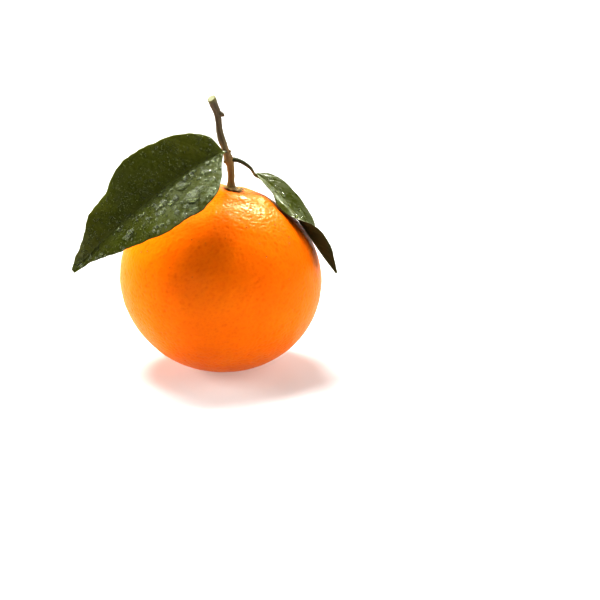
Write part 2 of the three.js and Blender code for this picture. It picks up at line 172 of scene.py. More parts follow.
# Water drops at the photo's places: share along the blade, share across it, radius
LEFT_DROPS = [
    (0.29, -0.64, 3.1), (0.292, -0.26, 2.3), (0.245, -0.6, 1.75), (0.16, -0.39, 1.95),
    (0.263, -0.17, 0.7), (0.163, -0.71, 1.2), (0.217, -0.14, 1.2), (0.343, -0.18, 0.85),
    (0.415, -0.34, 1.75), (0.385, -0.48, 1.35), (0.455, -0.52, 1.35), (0.398, -0.75, 1.2),
    (0.32, -0.9, 0.95), (0.343, -0.75, 0.95), (0.497, -0.78, 0.95), (0.62, -0.49, 1.5),
    (0.12, -0.2, 1.2), (0.155, -0.2, 0.8), (0.258, -0.35, 0.6), (0.115, -0.63, 0.8),
    (0.195, -0.9, 0.95), (0.238, -0.88, 0.85), (0.508, -0.45, 0.8), (0.555, -0.54, 0.6),
    (0.46, -0.82, 0.95), (0.435, -0.92, 0.65), (0.383, -0.87, 0.8), (0.448, -0.28, 0.8),
    (0.355, -0.43, 0.7), (0.203, -0.4, 0.6),
]
RIGHT_DROPS = [
    (0.25, -0.23, 0.7), (0.285, 0.13, 1.0), (0.515, -0.82, 1.2), (0.23, 0.25, 0.45),
    (0.372, 0.05, 0.55), (0.107, 0.31, 0.5), (0.305, 0.61, 0.45), (0.427, 0.37, 0.6),
]
LEFT_MIST, RIGHT_MIST, FRUIT_MIST = 2200, 150, 150
MIST_RADII = (0.15, 0.4)
LEFT_BEADS, BEAD_RADII = 90, (0.4, 1.1)
FINE_DROP, COARSE_DROP = (22, 6), (8, 2)  # sides and rings
COARSE_RADIUS = 0.4  # drops up to this radius are coarse
DROP_SINK, DROP_HEIGHT, DROP_FLATTENING = 0.12, 0.8, 0.55
FRUIT_MIST_HEIGHTS, FRUIT_DRY_RADIUS = (34, 64), 6  # no drops this near the stem

# Camera
CAMERA_PLACE = (31.65, -547.08, 173.40)
CAMERA_PITCH, CAMERA_LENS, CAMERA_SENSOR = 15.0, 85.0, 36.0

# Stage
FLOOR_REACH = 9000
WALL_SIDES, WALL_RADIUS, WALL_HEIGHT = 64, 5000, 4000
SKY_LIGHT = 0.06
VIEW_GAMMA = 0.72
# Suns: where the light comes from, its spread in degrees, its strength. The lamps light matt
# surfaces and the shines are only seen reflected.
LAMPS = {
    "key": ((-0.18, 0.34, 0.92), 30, 2.2),
    "left": ((-0.933, 0.25, 0.259), 30, 1.5),
    "right": ((0.9, -0.06, 0.423), 60, 0.81),
}
SHINES = {
    "right_shine": ((0.238, 0.653, 0.719), 17, 1.7),
    "left_shine": ((-0.36, 0.17, 0.917), 32, 0.24),
    "back_shine": ((0.253, 0.945, 0.208), 44, 0.12),
    "front_glint": ((-0.4, -0.9, 0.15), 8, 0.1),
}


# ---- small helpers

def bump(x, middle, width):
    return np.exp(-(((x - middle) / width) ** 2))


def unit(v):
    v = np.asarray(v, float)
    return v / np.linalg.norm(v, axis=-1, keepdims=True)


def smoothstep(x, low, high):
    t = np.clip((x - low) / (high - low), 0.0, 1.0)
    return t * t * (3 - 2 * t)


def through(knots, x):
    """A smooth curve through (x, y) knots, level beyond the first and the last."""
    xs, ys = np.array(knots, float).T
    slopes = np.empty_like(ys)
    slopes[1:-1] = (ys[2:] - ys[:-2]) / (xs[2:] - xs[:-2])
    slopes[0] = (ys[1] - ys[0]) / (xs[1] - xs[0])
    slopes[-1] = (ys[-1] - ys[-2]) / (xs[-1] - xs[-2])
    x = np.clip(x, xs[0], xs[-1])
    i = np.clip(np.searchsorted(xs, x, side="right") - 1, 0, len(xs) - 2)
    span = xs[i + 1] - xs[i]
    t = (x - xs[i]) / span
    return (
        (2 * t**3 - 3 * t**2 + 1) * ys[i]
        + (t**3 - 2 * t**2 + t) * span * slopes[i]
        + (3 * t**2 - 2 * t**3) * ys[i + 1]
        + (t**3 - t**2) * span * slopes[i + 1]
    )


def waves(points, scale, seed, octaves=3):
    """Smooth seeded unevenness over space, about -1 to 1, with features of that size in mm."""
    dice = np.random.default_rng(seed)
    total = np.zeros(len(points))
    strength = 0.0
    for octave in range(octaves):
        for _ in range(7):
            way = unit(dice.normal(size=3))
            pitch = scale * 0.5**octave * dice.uniform(0.75, 1.35)
            total += 0.5**octave * np.sin(points @ way * 2 * np.pi / pitch + dice.uniform(0, 6.28))
        strength += 0.25**octave * 3.5
    return total / math.sqrt(strength) / 1.6


def mesh_object(name, points, faces, material, body="root"):
    """A smooth-shaded mesh from points in mm and a list or array of faces."""
    mesh = bpy.data.meshes.new(name)
    mesh.from_pydata((np.asarray(points) * MM).tolist(), [], [list(face) for face in faces])
    mesh.polygons.foreach_set("use_smooth", [True] * len(mesh.polygons))
    mesh.update()
    obj = bpy.data.objects.new(name, mesh)
    bpy.context.scene.collection.objects.link(obj)
    obj.data.materials.append(material)
    if body:
        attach(obj, body)
    return obj


def paint(obj, name, values):
    """A number for each vertex, which materials read by name."""
    layer = obj.data.attributes.new(name, "FLOAT", "POINT")
    layer.data.foreach_set("value", np.asarray(values, np.float32))


def ring_quads(rings, sides):
    """Quads that join each ring of points to the next."""
    low = np.arange((rings - 1) * sides).reshape(-1, sides)
    after = np.roll(low, -1, axis=1)
    return np.stack([low, after, after + sides, low + sides], axis=-1).reshape(-1, 4)


# ---- fruit

def core_frame():
    """The fruit's own axes: its core is the last, and the first stays over the part's +X."""
    x = math.sin(math.radians(STEM_LEAN_RIGHT))
    y = math.sin(math.radians(STEM_LEAN_BACK))
    core = np.array([x, y, math.sqrt(1 - x * x - y * y)])
    right = unit(np.array([1.0, 0, 0]) - x * core)
    return np.array([right, np.cross(core, right), core])


CORE_FRAME = core_frame()


def round_waves(kinds, phi):
    return sum(size * np.cos(count * phi + start) for count, size, start in kinds)


def fruit_reach(theta, phi):
    """Distance from the fruit's centre to its peel, theta from the stem end, phi round the core."""
    half = np.where(np.cos(theta) > 0, STEM_HALF_HEIGHT, BLOSSOM_HALF_HEIGHT)
    across = (np.abs(np.sin(theta)) / FRUIT_RADIUS) ** FRUIT_SQUARENESS
    along = (np.abs(np.cos(theta)) / half) ** FRUIT_SQUARENESS
    reach = (across + along) ** (-1 / FRUIT_SQUARENESS)
    reach = reach - CUP_DEPTH * bump(theta, 0, CUP_WIDTH)
    ring = SHOULDER_ANGLE + SHOULDER_SHIFT * np.cos(phi)
    rise = SHOULDER_HEIGHT - SHOULDER_UNEVENNESS * np.cos(phi)
    reach += rise * bump(theta, ring, SHOULDER_WIDTH)
    reach += FURROW_DEPTH * round_waves(FURROWS, phi) * bump(theta, FURROW_ANGLE, FURROW_WIDTH)
    reach += CREASE_DEPTH * round_waves(CREASES, phi) * bump(theta, CREASE_ANGLE, CREASE_WIDTH)
    for count, size, start in GIRTH_WAVES:
        reach += size * np.sin(theta) ** count * np.cos(count * phi + start)
    left = 0.5 - 0.5 * np.cos(phi)
    reach -= LOWER_LEFT_SLACK * left * bump(theta, LOWER_LEFT_ANGLE, LOWER_LEFT_WIDTH)
    reach -= DIMPLE_DEPTH * bump(theta, np.pi, DIMPLE_WIDTH)
    return reach


def on_peel(theta, phi, lift):
    """Points that far above the peel."""
    out = fruit_reach(theta, phi) + lift
    ways = np.stack(
        [np.sin(theta) * np.cos(phi), np.sin(theta) * np.sin(phi), np.cos(theta)], axis=-1
    )
    return FRUIT_CENTRE + (out[..., None] * ways) @ CORE_FRAME


def cube_sphere(cells):
    """Even directions over a sphere, and the quads that join them."""
    grid = np.arange(cells + 1)
    i, j = (a.ravel() for a in np.meshgrid(grid, grid, indexing="ij"))
    full = np.full_like(i, cells)
    none = np.zeros_like(i)
    sides = [(i, j, full), (j, i, none), (j, full, i), (i, none, j), (full, i, j), (none, j, i)]
    lattice = np.concatenate([np.stack(side, axis=1) for side in sides])
    spots, index = np.unique(lattice, axis=0, return_inverse=True)
    index = index.reshape(6, cells + 1, cells + 1)
    quads = np.stack(
        [index[:, :-1, :-1], index[:, 1:, :-1], index[:, 1:, 1:], index[:, :-1, 1:]], axis=-1
    ).reshape(-1, 4)
    ways = unit(np.tan((spots / cells * 2 - 1) * np.pi / 4))
    return ways, quads


def pore_pits(ways):
    """For each direction, how deep in a pit it is, 0 to 1. The pits lie on a jittered spiral."""
    k = np.arange(PORES) + 0.5
    height = 1 - 2 * k / PORES
    turn = k * math.pi * (3 - math.sqrt(5))
    ring = np.sqrt(1 - height**2)
    middles = np.stack([ring * np.cos(turn), ring * np.sin(turn), height], axis=1)
    pitch = math.sqrt(4 * math.pi / PORES)
    dice = np.random.default_rng(7)
    middles = unit(middles + dice.normal(scale=PORE_JITTER * pitch, size=middles.shape))
    radii = PORE_RADIUS * dice.uniform(*PORE_SIZES, PORES) / PEEL_RADIUS
    depths = dice.uniform(*PORE_DEPTHS, PORES)
    tree = kdtree.KDTree(PORES)
    for n, middle in enumerate(middles):
        tree.insert(middle, n)
    tree.balance()
    pits = np.zeros(len(ways))
    for v, way in enumerate(ways):
        for _, n, away in tree.find_n(way, 3):
            pits[v] += depths[n] * math.exp(-((away / radii[n]) ** 2))
    return pits


def make_fruit(material):
    ways, quads = cube_sphere(FRUIT_CELLS)
    theta = np.arccos(np.clip(ways[:, 2], -1, 1))
    phi = np.arctan2(ways[:, 1], ways[:, 0])
    pits = pore_pits(ways)
    away = smoothstep(theta, *STEM_CALM) * smoothstep(np.pi - theta, *BLOSSOM_CALM)
    x, y, z = ways.T
    relief = np.sin(31 * x + 9 * y) + np.sin(29 * y + 11 * z + 1) + np.sin(33 * z + 8 * x + 2)
    relief = PEEL_RELIEF * relief + PEEL_WAVES * waves(ways * PEEL_RADIUS, PEEL_WAVE_SIZE, seed=3)
    points = on_peel(theta, phi, (relief - PORE_DEPTH * pits) * away)
    low = points[:, 2]
    points[:, 2] = 0.5 * (low + np.sqrt(low**2 + FLAT_SOFTNESS**2))
    obj = mesh_object("fruit_peel", points, quads, material)
    paint(obj, "pit", np.clip(pits, 0, 1))
    paint(obj, "from_stem", theta)
    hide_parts("fruit")
    return obj


# ---- calyx

def make_calyx(material):
    """A crinkled star of dry lobes round a raised button, on the peel."""
    spokes, rings = CALYX_SPOKES, CALYX_RINGS
    phi = np.arange(spokes) * 2 * np.pi / spokes
    lobe = np.abs(np.cos(LOBES * (phi - CALYX_TURN) / 2)) ** LOBE_SHAPE
    uneven = 1 + 0.08 * np.sin(phi + 1) + 0.05 * np.sin(2 * phi) + 0.03 * np.sin(11 * phi + 2)
    reach = (WAIST_REACH + (LOBE_REACH - WAIST_REACH) * lobe) * uneven
    layers, edges, heights = [], [], []
    for top in (True, False):
        for r in range(rings + 1):
            share = r / rings
            out = share * reach
            theta = out / (STEM_HALF_HEIGHT - CUP_DEPTH)
            tip_lift = TIP_LIFT + TIP_LIFT_SWING * np.sin(2 * phi + 0.5)
            lift = -CALYX_SINK + share**2 * tip_lift * (0.5 + 0.5 * lobe)
            beyond = out - BUTTON_RADIUS
            button = 1 - smoothstep(beyond, -BUTTON_SLOPE, BUTTON_SLOPE)
            crinkle = 0.06 * np.sin(15 * phi + 5 * share) + 0.05 * np.sin(26 * phi - 7 * share)
            thickness = CALYX_THICKNESS + BUTTON_HEIGHT * button
            thickness = thickness + crinkle * smoothstep(share, 0.2, 0.5)
            thickness = thickness * (1 - RIM_THINNING * smoothstep(share, RIM_START, 1.0))
            collar = bump(out, COLLAR_RADIUS, COLLAR_WIDTH)
            thickness = thickness + COLLAR_HEIGHT * collar
            rise = lift + (thickness if top else -0.15 * (1 - share))
            layers.append(on_peel(theta, phi, rise))
            edges.append(share * np.ones(spokes))
            heights.append(button)
    points = np.concatenate(layers)
    layer = (rings + 1) * spokes
    quads = ring_quads(rings + 1, spokes)
    start, after = quads[-spokes:, 3], quads[-spokes:, 2]
    rim = np.stack([start, layer + start, layer + after, after], axis=1)
    faces = np.concatenate([quads[:, [0, 3, 2, 1]], layer + quads[:, [1, 2, 3, 0]], rim])
    obj = mesh_object("calyx_star", points, faces, material)
    paint(obj, "edge", np.concatenate(edges))
    paint(obj, "button", np.concatenate(heights))
    weld(obj, 1e-5)
    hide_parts("calyx")
    return obj


def weld(obj, gap):
    """Joins the points of a mesh that lie together, and drops the faces that vanish."""
    form = bmesh.new()
    form.from_mesh(obj.data)
    bmesh.ops.remove_doubles(form, verts=form.verts, dist=gap)
    bmesh.ops.recalc_face_normals(form, faces=form.faces)
    form.to_mesh(obj.data)
    form.free()


# ---- twig

PATH_FINENESS = 24


def smooth_path(points, count):
    """count points at even steps along a centripetal curve through the given points."""
    p = np.array(points, float)
    p = np.vstack([2 * p[0] - p[1], p, 2 * p[-1] - p[-2]])
    out = []
    for a, b, c, d in zip(p[:-3], p[1:-2], p[2:-1], p[3:]):
        t1 = np.linalg.norm(b - a) ** 0.5
        t2 = t1 + np.linalg.norm(c - b) ** 0.5
        t3 = t2 + np.linalg.norm(d - c) ** 0.5
        for t in np.linspace(t1, t2, PATH_FINENESS, endpoint=False):
            ab = (t1 - t) / t1 * a + t / t1 * b
            bc = (t2 - t) / (t2 - t1) * b + (t - t1) / (t2 - t1) * c
            cd = (t3 - t) / (t3 - t2) * c + (t - t2) / (t3 - t2) * d
            abc = (t2 - t) / t2 * ab + t / t2 * bc
            bcd = (t3 - t) / (t3 - t1) * bc + (t - t1) / (t3 - t1) * cd
            out.append((t2 - t) / (t2 - t1) * abc + (t - t1) / (t2 - t1) * bcd)
    out.append(p[-2])
    out = np.array(out)
    steps = np.r_[0, np.cumsum(np.linalg.norm(np.diff(out, axis=0), axis=1))]
    even = np.linspace(0, steps[-1], count)
    return np.stack([np.interp(even, steps, out[:, k]) for k in range(3)], axis=1)


def path_frames(path):
    """Way along the path and two ways across it at each point, turning as little as they can."""
    along = unit(np.gradient(path, axis=0))
    side = [unit(np.cross(along[0], [0.3, 1.0, 0.2]))]
    for way in along[1:]:
        side.append(unit(side[-1] - way * (side[-1] @ way)))
    side = np.array(side)
    return along, side, np.cross(along, side)


def tube(path, radii, sides):
    """Points and faces of a closed round stalk along a path."""
    along, side, other = path_frames(path)
    turn = np.arange(sides) * 2 * np.pi / sides
    ring = np.cos(turn)[None, :, None] * side[:, None]
    ring = ring + np.sin(turn)[None, :, None] * other[:, None]
    points = (path[:, None] + np.asarray(radii)[:, None, None] * ring).reshape(-1, 3)
    ends = [list(range(sides))[::-1], list(range((len(path) - 1) * sides, len(path) * sides))]
    return points, ring_quads(len(path), sides).tolist() + ends


def egg(middle, way, radius, length):
    """Points and faces of a small egg-shaped bud."""
    way = unit(way)
    side = unit(np.cross(way, [0.2, 0.9, 0.4]))
    other = np.cross(way, side)
    points, faces = [], []
    rings, sides = BUD_RINGS, BUD_SIDES
    for r in range(1, rings):
        tilt = math.pi * r / rings
        for s in range(sides):
            turn = 2 * math.pi * s / sides
            out = radius * math.sin(tilt) * (1 - BUD_TAPER * math.cos(tilt))
            points.append(
                middle
                + way * length * math.cos(tilt)
                + out * (math.cos(turn) * side + math.sin(turn) * other)
            )
    points += [middle + way * length, middle - way * length]
    first, last = len(points) - 2, len(points) - 1
    for s in range(sides):
        nxt = (s + 1) % sides
        faces.append([first, s, nxt])
        for r in range(rings - 2):
            low, high = r * sides, (r + 1) * sides
            faces.append([low + s, high + s, high + nxt, low + nxt])
        faces.append([last, (rings - 2) * sides + nxt, (rings - 2) * sides + s])
    return np.array(points), faces


def fused(name, shells, material):
    """One closed skin round several overlapping closed shells."""
    points, faces = [], []
    for shell_points, shell_faces in shells:
        start = sum(len(p) for p in points)
        points.append(shell_points)
        faces += [[start + i for i in face] for face in shell_faces]
    rough = bpy.data.meshes.new(name + "_rough")
    rough.from_pydata((np.concatenate(points) * MM).tolist(), [], faces)
    holder = bpy.data.objects.new(name, rough)
    bpy.context.scene.collection.objects.link(holder)
    remesh = holder.modifiers.new("skin", "REMESH")
    remesh.mode = "VOXEL"
    remesh.voxel_size = TWIG_VOXEL * MM
    smooth = holder.modifiers.new("smooth", "SMOOTH")
    smooth.factor = 0.5
    smooth.iterations = 3
    skin = bpy.data.meshes.new_from_object(
        holder.evaluated_get(bpy.context.evaluated_depsgraph_get())
    )
    holder.modifiers.clear()
    holder.data = skin
    bpy.data.meshes.remove(rough)
    skin.polygons.foreach_set("use_smooth", [True] * len(skin.polygons))
    skin.materials.clear()
    skin.materials.append(material)
    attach(holder, "root")
    return holder


def points_and_normals(obj):
    count = len(obj.data.vertices)
    points, normals = np.empty(count * 3), np.empty(count * 3)
    obj.data.vertices.foreach_get("co", points)
    obj.data.vertices.foreach_get("normal", normals)
    return points.reshape(-1, 3) / MM, normals.reshape(-1, 3)


def move_points(obj, points):
    obj.data.vertices.foreach_set("co", (points * MM).ravel())
    obj.data.update()


def make_twig(material):
    """A knobbly stalk with buds, cut off slanting at the top."""
    path = smooth_path(TWIG_PATH, TWIG_STEPS)
    share = np.linspace(0, 1, len(path))
    shells = [tube(path, through(TWIG_RADII, share), TWIG_SIDES)]
    for at, way, out, radius, length in TWIG_BUDS:
        middle = path[int(at * (len(path) - 1))] + unit(way) * out
        shells.append(egg(middle, way, radius, length))
    obj = fused("twig_bark", shells, material)
    points, normals = points_and_normals(obj)
    along, side, other = path_frames(path)
    tree = kdtree.KDTree(len(path))
    for n, p in enumerate(path):
        tree.insert(p, n)
    tree.balance()
    nearest = np.array([tree.find(p)[1] for p in points])
    offset = points - path[nearest]
    turn = np.arctan2((offset * other[nearest]).sum(1), (offset * side[nearest]).sum(1))
    distance = share[nearest]
    wander = 1.2 * np.sin(9 * distance)
    ridges = np.cos(7 * turn + 6 * distance + wander) + 0.6 * np.cos(11 * turn - 9 * distance)
    knobbly = waves(points, 2.6, seed=5)
    grain = waves(points * [1, 1, 0.35], 0.9, seed=6)
    relief = BARK_RIDGES * ridges + BARK_KNOBS * knobbly + BARK_GRAIN * grain
    points = points + normals * (relief + SKIN_SHRINKAGE)[:, None]
    slant = unit(CUT_WAY)
    beyond = (points - path[-1] + CUT_BACK * along[-1]) @ slant
    points -= (np.maximum(beyond, 0) / (along[-1] @ slant))[:, None] * along[-1]
    move_points(obj, points)
    inner = np.linalg.norm(np.cross(points - path[-1], along[-1]), axis=1)
    wood = 1 - 0.5 * smoothstep(inner, 1.2, 1.5)  # darker towards the bark
    paint(obj, "cut", smoothstep(beyond, -0.12, 0.02) * wood)
    paint(obj, "along", distance)
    paint(obj, "ridge", 0.5 + 0.3 * ridges)
    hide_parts("twig")
    return obj


# ---- leaves

def cubic(midrib, u):
    """Points of a cubic curve, and the way along it."""
    p = np.array(midrib, float)
    u = np.asarray(u, float)[..., None]
    point = (1 - u) ** 3 * p[0] + 3 * (1 - u) ** 2 * u * p[1]
    point = point + 3 * (1 - u) * u**2 * p[2] + u**3 * p[3]
    slope = (1 - u) ** 2 * (p[1] - p[0]) + 2 * (1 - u) * u * (p[2] - p[1]) + u**2 * (p[3] - p[2])
    return point, unit(slope)


def leaf_frame(leaf, u):
    """Midrib point, the way along it, the way the blade faces and the way to its far half."""
    middle, along = cubic(leaf["midrib"], u)
    first, last = np.array(leaf["facing"], float)
    share = np.asarray(u, float)[..., None]
    facing = (1 - share) * first + share * last
    facing = unit(facing - (facing * along).sum(-1, keepdims=True) * along)
    far = np.cross(along, facing)
    far = far * np.where(far[..., 1:2] < 0, -1.0, 1.0)
    return middle, along, facing, far


def vein_pattern(leaf, u, v):
    """How close each spot is to a side vein, and how far the blade swells between two."""
    share = np.abs(v)
    shift = np.where(v < 0, 0.5, 0.0)
    bend = 1.25 * share - 0.75 * share**2 + 0.95 * share**3
    spacing = leaf["veins"] * (u + 0.06 * u * (1 - u)) - bend + shift
    spacing = spacing + 0.13 * np.sin(2.1 * spacing + 3 * shift)
    nearest = np.abs(spacing - np.round(spacing))
    fade = smoothstep(share, 0.0, 0.04) * (1 - smoothstep(share, 0.78, 0.95))
    fade = fade * smoothstep(u, 0.01, 0.06) * (1 - smoothstep(u, 0.9, 0.98))
    line = np.exp(-((nearest / (VEIN_WIDTH * (1 - 0.45 * share))) ** 2)) * fade
    swell = np.sin(np.pi * nearest) ** 2 * fade
    return line, swell


def leaf_surface(leaf, u, v):
    """Points and normals of the blade's middle layer; v runs from -1, near margin, to 1, far."""
    middle, along, facing, far = leaf_frame(leaf, u)
    share = np.abs(v)
    near = v < 0

    def knots(key):
        return np.where(near, through(leaf["near_half"][key], u), through(leaf["far_half"][key], u))

    width = knots("width")
    scallop = np.sin(u * 118 + 2 * np.sin(17 * u)) + np.sin(u * 61 + 1.3)
    scallop = scallop * share**6 * smoothstep(u, 0.03, 0.1) * (1 - smoothstep(u, 0.93, 0.99))
    width = width + 0.6 * leaf["ripple"] * scallop
    fold = np.radians(knots("fold"))
    bend = math.radians(LEAF_CURL)
    slope = fold - bend * share
    out = width * (np.sin(fold) - np.sin(slope)) / bend
    lift = width * (np.cos(slope) - np.cos(fold)) / bend
    soft = 0.9 * np.tan(fold) * np.exp(-np.abs(out) / 0.9)
    curl = near * through(leaf["near_curl"], u)
    wave = knots("wave") * share**2 - curl * smoothstep(share, 0.7, 1.05) ** 1.5
    ripple = leaf["ripple"] * np.sin(u * 43 + 4 * share + np.where(near, 0, 2)) * share**3
    ripple = ripple * smoothstep(u, 0.02, 0.12) * (1 - smoothstep(u, 0.9, 1))
    side = np.where(near, -1.0, 1.0)
    rise = lift + wave + ripple + 0.35 * soft
    point = middle + (side * out)[..., None] * far + rise[..., None] * facing
    tilt = side * slope * smoothstep(out, 0, 1.5)
    normal = np.cos(tilt)[..., None] * facing - np.sin(tilt)[..., None] * far
    return point, normal, width


def blade_faces(index):
    """Quads of a closed sheet, from the numbers of its top's points; the underside's follow."""
    lower = index + index.size
    quads = [
        np.stack([index[:-1, :-1], index[1:, :-1], index[1:, 1:], index[:-1, 1:]], -1),
        np.stack([lower[:-1, :-1], lower[:-1, 1:], lower[1:, 1:], lower[1:, :-1]], -1),
    ]
    for a, b in (
        (index[:, 0], lower[:, 0]),
        (lower[:, -1], index[:, -1]),
        (lower[0], index[0]),
        (index[-1], lower[-1]),
    ):
        quads.append(np.stack([a[:-1], b[:-1], b[1:], a[1:]], -1))
    return [q.reshape(-1, 4) for q in quads]


def painted_sheen_strength(leaf, u, v):
    """How strongly painted sheen, in place of the wet blade's reflection, lightens each spot of its
    top.
    """
    share = np.abs(v)
    sheen_paint = leaf["painted_sheen"] * (v < -0.03) * (1 - smoothstep(u, *leaf["painted_sheen_to"]))
    sheen_paint = sheen_paint * smoothstep(u, 0.0, 0.08)
    margin = smoothstep(share, 0.65, 0.85) * (1 - smoothstep(u, 0.3, 0.42))
    sheen_paint = sheen_paint * (1 + leaf["painted_sheen_margin"] * margin)
    sheen_paint = sheen_paint * smoothstep(share, *leaf["painted_sheen_from"])
    sheen_paint = sheen_paint * (1 - leaf["painted_sheen_gap"] * smoothstep(share, 0.8, 0.9) * bump(u, 0.42, 0.1))
    sheen_paint += leaf["painted_sheen_far"] * (v > 0) * bump(u, 0.47, 0.08) * (1 - smoothstep(share, 0.3, 0.9))
    return sheen_paint


def make_leaf(leaf, material):
    """The blade and its stalk as one piece. Returns the blade's top, for the drops."""
    even = np.linspace(0, 1, BLADE_ROWS + 1)
    stations = 0.45 * even + 0.55 * (0.5 - 0.5 * np.cos(np.pi * even))  # closer at both ends
    across = np.linspace(-1, 1, BLADE_COLUMNS + 1)
    across = np.sign(across) * np.abs(across) ** 1.15  # closer at the midrib
    u, v = np.meshgrid(stations, across, indexing="ij")
    point, normal, width = leaf_surface(leaf, u, v)
    line, swell = vein_pattern(leaf, u, v)
    share = np.abs(v)
    taper = 1 - RIB_TAPER * u
    rib = np.exp(-((share * width / (RIB_WIDTH * taper + 0.15)) ** 2))
    rounding = np.sqrt(np.clip(1 - share**14, 0, 1)) * 0.85 + 0.15
    grid = point.reshape(-1, 3)
    quilt = waves(grid, QUILT_SIZE, seed=11) * QUILT_HEIGHT
    quilt = quilt + waves(grid, BUCKLE_SIZE, seed=12) * BUCKLE_HEIGHT * leaf["ripple"]
    quilt = quilt.reshape(u.shape)
    common = VEIN_SWELL * swell + quilt * smoothstep(share, 0.0, 0.12)
    half = 0.5 * BLADE_THICKNESS * rounding
    top = half + common - TOP_VEIN_DEPTH * line - TOP_RIB_DEPTH * rib
    under = -half + common - UNDER_VEIN_HEIGHT * line - (UNDER_RIB_HEIGHT * taper + 0.1) * rib
    top_points = point + top[..., None] * normal
    under_points = point + under[..., None] * normal
    stalk_points, stalk_faces, stalk_share = leaf_stalk(leaf)
    points = np.concatenate([top_points.reshape(-1, 3), under_points.reshape(-1, 3), stalk_points])
    faces = blade_faces(np.arange(u.size).reshape(u.shape)) + [stalk_faces + 2 * u.size]
    obj = mesh_object(leaf["name"] + "_blade", points, np.concatenate(faces), material)
    weld(obj, 1e-7)

    def whole(above, below, stalk):
        sizes = (u.size, u.size, len(stalk_points))
        parts = zip((above, below, stalk), sizes)
        return np.concatenate([np.broadcast_to(np.ravel(part), size) for part, size in parts])

    pale_end = leaf["stalk_pale"]
    green_end = (1 - pale_end) * smoothstep(stalk_share, 0.85, 1.05)
    # Painted shade: how much one half of the blade is darkened.
    shade = np.where(v < 0, leaf["near_shade"], leaf["far_shade"])
    for key, values in (
        ("under", whole(0, 1, 0.2)),
        ("vein", whole(line, line, 0)),
        ("rib", whole(rib, rib, 1)),
        ("rim", whole(share, share, 0)),
        ("stalk", whole(0, 0, 1 - green_end)),
        ("stalk_end", whole(0, 0, pale_end * smoothstep(stalk_share, 0.65, 1))),
        ("painted_sheen", whole(painted_sheen_strength(leaf, u, v), 0, 0)),
        ("shade", whole(shade, 0, 0)),
    ):
        paint(obj, key, values)
    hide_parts(leaf["name"])
    return top_points, normal, u, v


def leaf_stalk(leaf):
    """The leaf's own stalk: round below, flat or winged above, running out under the midrib."""
    count, sides = STALK_STEPS, STALK_SIDES
    runs = [leaf_frame(leaf, np.array(u)) for u in (0.0, 0.03, 0.08)]
    tail = [m - f * TAIL_SINK for m, _, f, _ in runs]
    path = smooth_path(list(leaf["stalk"]) + tail, count)
    along = unit(np.gradient(path, axis=0))
    facing = runs[0][2]
    facing = unit(facing - (along @ facing)[:, None] * along)
    far = np.cross(along, facing)
    share = np.linspace(0, 1, count)
    base = np.linalg.norm(path - runs[0][0], axis=1).argmin() / (count - 1)
    wing = leaf["stalk_wing"] - 0.7
    swell = np.clip(share / base, 0, 1)
    half_width = STALK_WIDTH + wing * np.sin(np.pi * np.clip((swell - 0.08) / 0.86, 0, 1)) ** 0.8
    at_blade, at_twig = bump(swell, 1.0, BLADE_KNEE), bump(swell, 0.0, TWIG_KNEE)
    half_width = half_width + 0.22 * at_blade + 0.25 * at_twig
    half_width = half_width * (1 - 0.45 * smoothstep(share, base, 1))
    depth = STALK_DEPTH + 0.18 * at_blade + 0.2 * at_twig
    depth = depth * (1 - 0.5 * smoothstep(share, base, 1))
    thickness = leaf["stalk_thickness"]
    thickness = thickness + (leaf["stalk_tail"] - thickness) * smoothstep(share / base, 0.35, 1.0)
    half_width = half_width * thickness
    depth = depth * thickness
    turn = np.arange(sides) * 2 * np.pi / sides
    x = np.cos(turn)
    y = np.sin(turn)
    flat = np.where(y > 0, leaf["stalk_flat"], 1.0)
    cup = 0.28 * np.abs(x) ** 1.5 * np.clip(half_width - 0.7, 0, 2)[:, None]
    pinch = np.clip(1 - 0.65 * np.abs(x) ** 2 * np.clip(half_width - 0.8, 0, 1)[:, None], 0.2, 1)
    px = half_width[:, None] * x
    py = depth[:, None] * y * flat * pinch + cup
    points = path[:, None] + px[..., None] * far[:, None] + py[..., None] * facing[:, None]
    caps = [[0, 2 * k + 1, 2 * k + 2, min(2 * k + 3, sides - 1)] for k in range(sides // 2 - 1)]
    start = np.array(caps)
    quads = ring_quads(count, sides)
    faces = np.concatenate([quads, start[:, ::-1], start + (count - 1) * sides])
    keep = np.array([len(set(f)) == 4 for f in faces.tolist()])
    return points.reshape(-1, 3), faces[keep], np.repeat(swell, sides)


# ---- water drops

def drop_shape(sides, rings):
    """A unit drop with a flat underside: spots across it, height of each, and its faces."""
    turn = np.arange(sides) * 2 * np.pi / sides
    circle = np.stack([np.cos(turn), np.sin(turn), 0 * turn], 1)
    points = []
    for k in range(1, rings + 1):
        tilt = 0.5 * np.pi * k / rings
        points.append(np.sin(tilt) * circle + [0, 0, np.cos(tilt)])
    points.append(0.97 * circle - [0, 0, 1])
    points.append([[0, 0, 1], [0, 0, -1]])
    foot = rings * sides
    top, bottom = foot + sides, foot + sides + 1
    pairs = [(s, (s + 1) % sides) for s in range(sides)]
    faces = [[top, a, b] for a, b in pairs]
    faces += ring_quads(rings + 1, sides)[:, [0, 3, 2, 1]].tolist()
    faces += [[bottom, foot + b, foot + a] for a, b in pairs]
    return np.concatenate(points), faces


